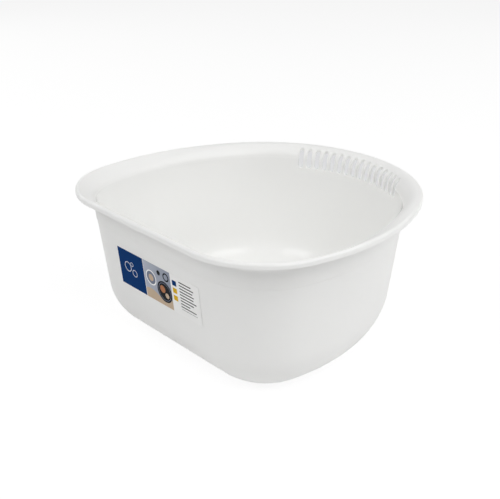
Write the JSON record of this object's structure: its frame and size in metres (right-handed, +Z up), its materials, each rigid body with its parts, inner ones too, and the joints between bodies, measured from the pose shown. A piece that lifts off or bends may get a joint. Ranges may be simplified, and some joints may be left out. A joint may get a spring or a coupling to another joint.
{
  "type": "washing-up basin",
  "caption": "D-shaped moulded plastic basin with a rolled rim, a row of drain slots in the back wall and a printed label on the straight front.",
  "frame": {"origin": "centre of the bounding box's underside, on the plane that the foot rests on", "axes": "+X along the straight front wall, -Y out of the straight front wall with the label, +Y to the round back with the slots, +Z up"},
  "size_m": [0.3, 0.29, 0.14],
  "materials": {
    "basin_plastic": "satin",
    "label_film": "satin"
  },
  "bodies": {
    "root": {"basin": "basin_plastic", "label": "label_film"}
  },
  "joints": []
}
